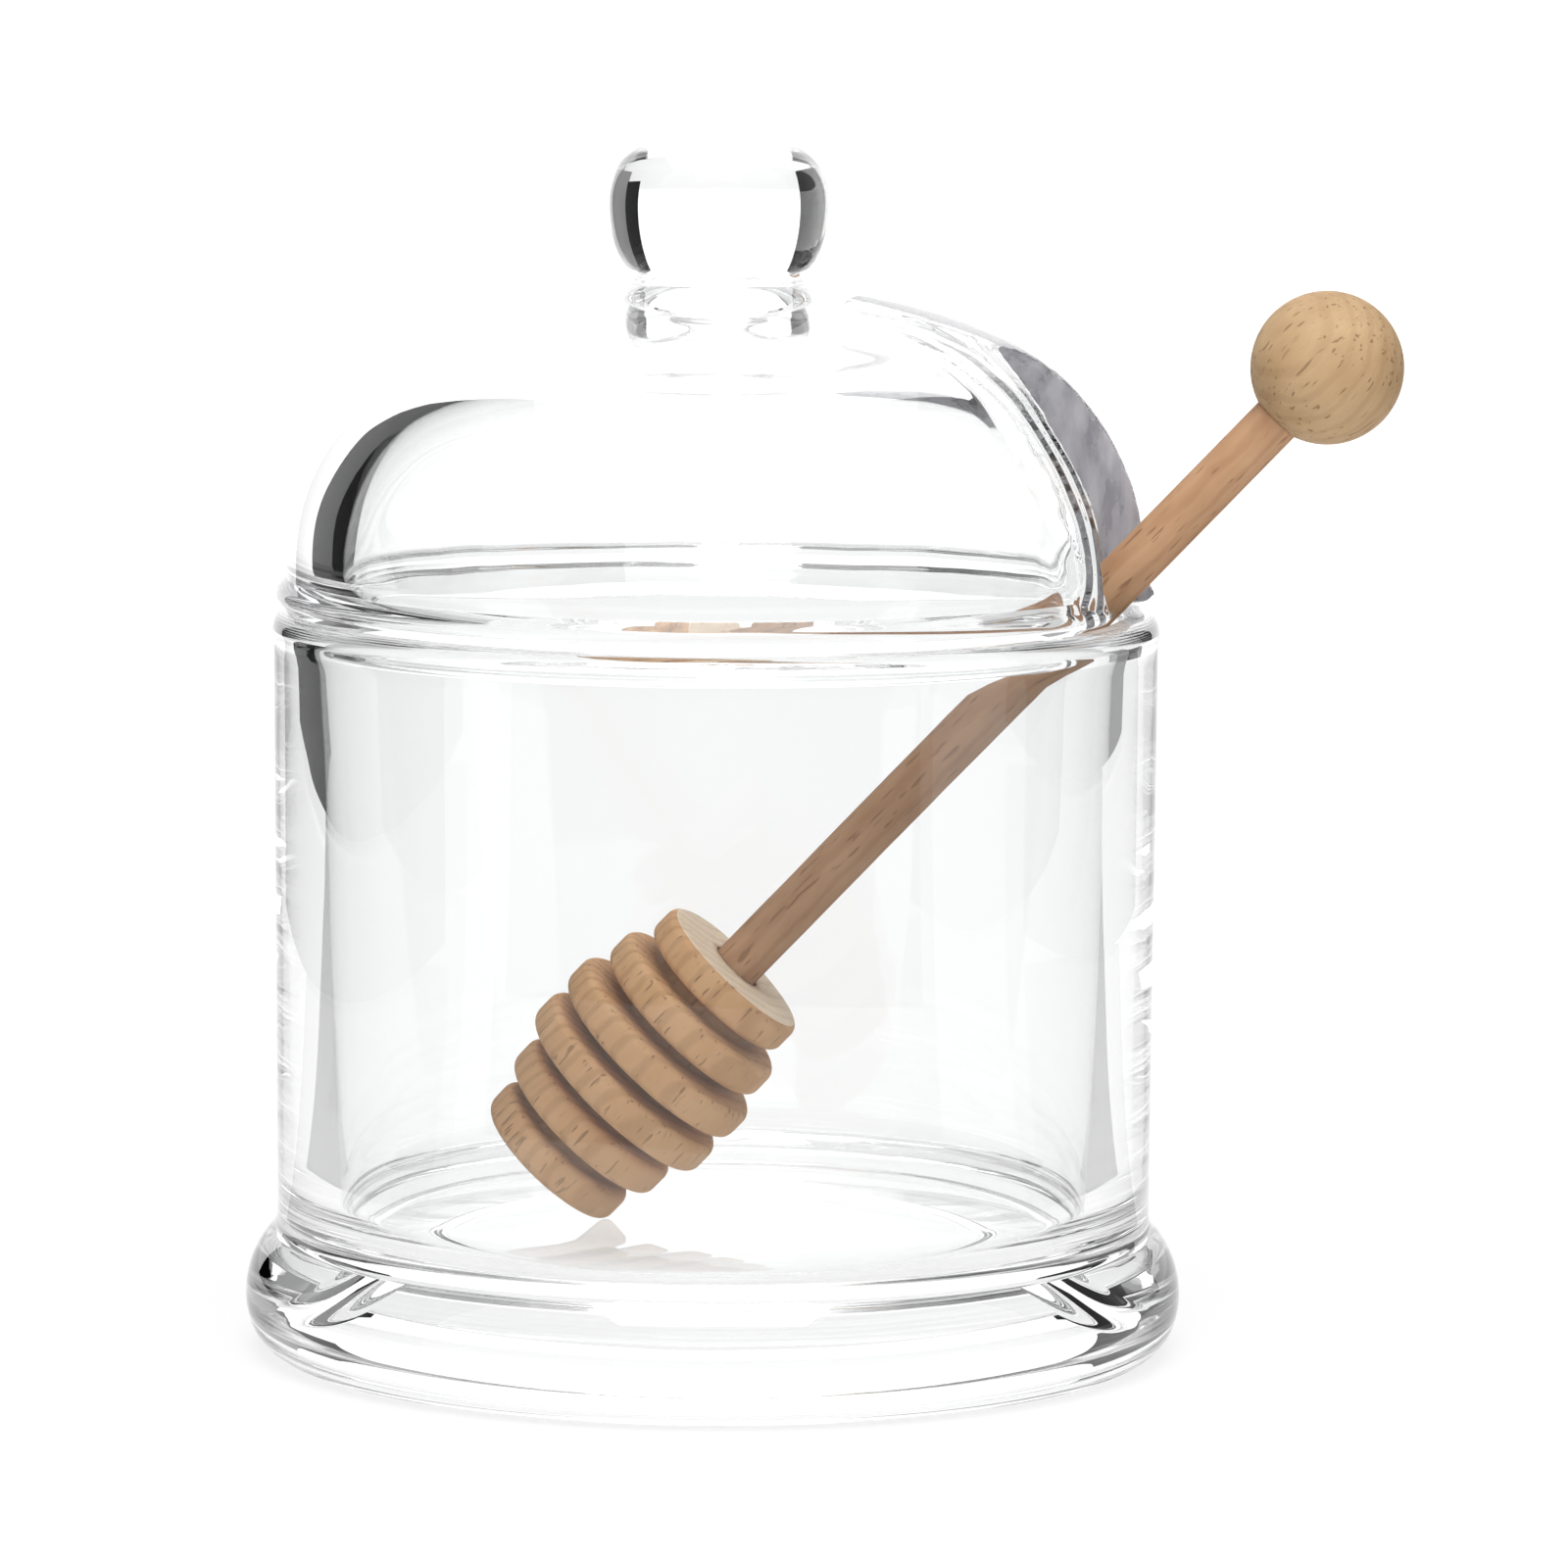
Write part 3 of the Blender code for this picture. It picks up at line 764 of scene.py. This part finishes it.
def beech(name, pale, brown, dark, pith, fleck_stretch, ring_strength, fleck_strength, groove_shade_strength):
    """Turned beech: soft growth rings round a far pith, short dark flecks, and painted shade that darkens
    the deep grooves.
    """
    # The darkest colour serves both the real flecks and the painted shade in the grooves.
    darkest = [value * fleck_and_groove_shade_darkening for value in dark]
    made, tree, shader = new_material(name)
    shader.inputs["Specular IOR Level"].default_value = 0.25
    place = add_node(tree, "ShaderNodeTexCoord")
    along = add_node(tree, "ShaderNodeMapping", Location=dipper_end, Rotation=dipper_turn.to_euler())
    along.vector_type = "TEXTURE"
    grown = add_node(tree, "ShaderNodeGroup")
    grown.node_tree = grain
    grown.inputs["Pith"].default_value = pith
    grown.inputs["Fleck Stretch"].default_value = (1.0, 1.0, fleck_stretch)
    shade = add_node(tree, "ShaderNodeMapRange", From_Min=0.30, From_Max=0.70, To_Max=0.75)
    mottled = add_colour_mix(tree, A=pale, B=brown)
    ring_share = add_node(tree, "ShaderNodeMath", "MULTIPLY", ring_strength)
    ringed = add_colour_mix(tree, B=dark)
    fleck_share = add_node(tree, "ShaderNodeMath", "MULTIPLY", fleck_strength)
    flecked = add_colour_mix(tree, B=darkest)
    # Painted shade: the grooves are mixed towards the darkest colour.
    groove_shade_share = add_node(tree, "ShaderNodeMath", "MULTIPLY", groove_shade_strength)
    groove_shaded = add_colour_mix(tree, B=darkest)
    dull = add_node(tree, "ShaderNodeMapRange", To_Min=0.55, To_Max=0.75)
    sunk = add_node(tree, "ShaderNodeMath", "SUBTRACT")
    bump = add_node(tree, "ShaderNodeBump", Distance=fibre_height)
    link_all(
        tree,
        (place.outputs["Object"], along.inputs["Vector"]),
        (along.outputs["Vector"], grown.inputs["Place"]),
        (grown.outputs["Mottle"], shade.inputs["Value"]),
        (shade.outputs["Result"], mottled.inputs["Factor"]),
        (mottled.outputs["Result"], ringed.inputs["A"]),
        (grown.outputs["Rings"], ring_share.inputs[0]),
        (ring_share.outputs["Value"], ringed.inputs["Factor"]),
        (ringed.outputs["Result"], flecked.inputs["A"]),
        (grown.outputs["Flecks"], fleck_share.inputs[0]),
        (fleck_share.outputs["Value"], flecked.inputs["Factor"]),
        (flecked.outputs["Result"], groove_shaded.inputs["A"]),
        (grown.outputs["Groove Shade"], groove_shade_share.inputs[0]),
        (groove_shade_share.outputs["Value"], groove_shaded.inputs["Factor"]),
        (groove_shaded.outputs["Result"], shader.inputs["Base Color"]),
        (grown.outputs["Fibres"], dull.inputs["Value"]),
        (dull.outputs["Result"], shader.inputs["Roughness"]),
        (grown.outputs["Fibres"], sunk.inputs[0]),
        (grown.outputs["Flecks"], sunk.inputs[1]),
        (sunk.outputs["Value"], bump.inputs["Height"]),
        (bump.outputs["Normal"], shader.inputs["Normal"]),
    )
    return made


def add_piece(name, outline, steps, finish, node):
    """A turned wooden piece on the dipper's axis."""
    mesh = turned_mesh(name, outline, steps, dipper_place)
    mesh.materials.append(finish)
    piece = bpy.data.objects.new(name, mesh)
    bpy.context.scene.collection.objects.link(piece)
    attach(piece, "root")
    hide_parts(node)
    return piece


socket_radius = stem_radius + socket_gap
socket_angle = math.degrees(math.acos(socket_radius / ball_radius))
ball_socket_z = ball_reach - ball_radius + socket_depth
ball_outline = arc((0.0, ball_reach), (ball_radius, ball_radius), 90, -socket_angle, ball_steps)
ball_outline += [(socket_radius, ball_socket_z), (0.0, ball_socket_z)]
ball_beech = beech(
    "ball_beech",
    pale=(0.57, 0.39, 0.220),
    brown=(0.43, 0.27, 0.135),
    dark=(0.32, 0.18, 0.085),
    pith=(0.014, 0.008, 0.130),
    fleck_stretch=0.08,
    ring_strength=0.20,
    fleck_strength=0.60,
    groove_shade_strength=0.0,
)
ball_outline = finely(ball_outline)
add_piece("wooden_ball", ball_outline, ball_turning_steps, ball_beech, "dipper_ball")

# The dipper's stem. It is a plain beech dowel, cut to length and left raw. Its ends are glued into
# the drilled head and ball, so its length follows from the depth of their sockets.
disc_pitch = 0.0059
disc_thickness = 0.0043
disc_round = 0.0012
disc_radii = (0.0100, 0.0115, 0.0135, 0.0136, 0.0122, 0.0104)
core_radius = 0.0070
stem_turning_steps = 48
head_length = disc_pitch * (len(disc_radii) - 1) + disc_thickness
stem_low = head_length - socket_depth + socket_gap
stem_high = ball_socket_z - socket_gap
stem_outline = [(0.0, stem_low), (stem_radius, stem_low), (stem_radius, stem_high), (0.0, stem_high)]
stem_beech = beech(
    "stem_beech",
    pale=(0.57, 0.345, 0.200),
    brown=(0.38, 0.195, 0.095),
    dark=(0.26, 0.11, 0.045),
    pith=(0.030, 0.020, 0.060),
    fleck_stretch=0.14,
    ring_strength=0.22,
    fleck_strength=0.50,
    groove_shade_strength=0.0,
)
stem_outline = finely(stem_outline)
add_piece("wooden_stem", stem_outline, stem_turning_steps, stem_beech, "dipper_stem")

# The dipper's head. Its six discs are turned from one block of raw beech, with deep grooves between them
# that hold the honey; painted shade darkens the grooves. Its top is drilled for the stem, and its top face
# is painted paler, partly for the end of the grain and partly as painted light from above.
disc_round_steps = 6
head_turning_steps = 96
top_face_margin = 0.0002
head_outline = [(0.0, 0.0)]
for number, radius in enumerate(disc_radii):
    low = number * disc_pitch
    high = low + disc_thickness
    edge = radius - disc_round
    if number:
        head_outline.append((core_radius, low))
    head_outline += arc((edge, low + disc_round), (disc_round, disc_round), -90, 0, disc_round_steps)
    head_outline += arc((edge, high - disc_round), (disc_round, disc_round), 0, 90, disc_round_steps)
    if number < len(disc_radii) - 1:
        head_outline.append((core_radius, high))
head_socket_z = head_length - socket_depth
head_outline += [(socket_radius, head_length), (socket_radius, head_socket_z), (0.0, head_socket_z)]
# Only the head gets painted shade in its grooves.
head_beech = beech(
    "head_beech",
    pale=(0.79, 0.485, 0.255),
    brown=(0.68, 0.375, 0.170),
    dark=(0.40, 0.185, 0.07),
    pith=(-0.016, 0.012, 0.010),
    fleck_stretch=0.16,
    ring_strength=0.28,
    fleck_strength=0.55,
    groove_shade_strength=0.62,
)
# A paler copy of the head's beech for its top face: partly the end of the grain, partly painted light from
# above.
head_top_grain_and_light_beech = beech(
    "head_top_grain_and_light_beech",
    pale=(0.96, 0.80, 0.61),
    brown=(0.90, 0.71, 0.51),
    dark=(0.68, 0.47, 0.30),
    pith=(-0.016, 0.012, 0.010),
    fleck_stretch=0.16,
    ring_strength=0.30,
    fleck_strength=0.30,
    groove_shade_strength=0.0,
)
head_outline = finely(head_outline)
head = add_piece("wooden_head", head_outline, head_turning_steps, head_beech, "dipper_head")
head.data.materials.append(head_top_grain_and_light_beech)
# The top face gets the paler copy, which is partly painted light.
from_dipper = dipper_place.inverted()
for face in head.data.polygons:
    if (from_dipper @ face.center).z > head_length - top_face_margin:
        face.material_index = 1
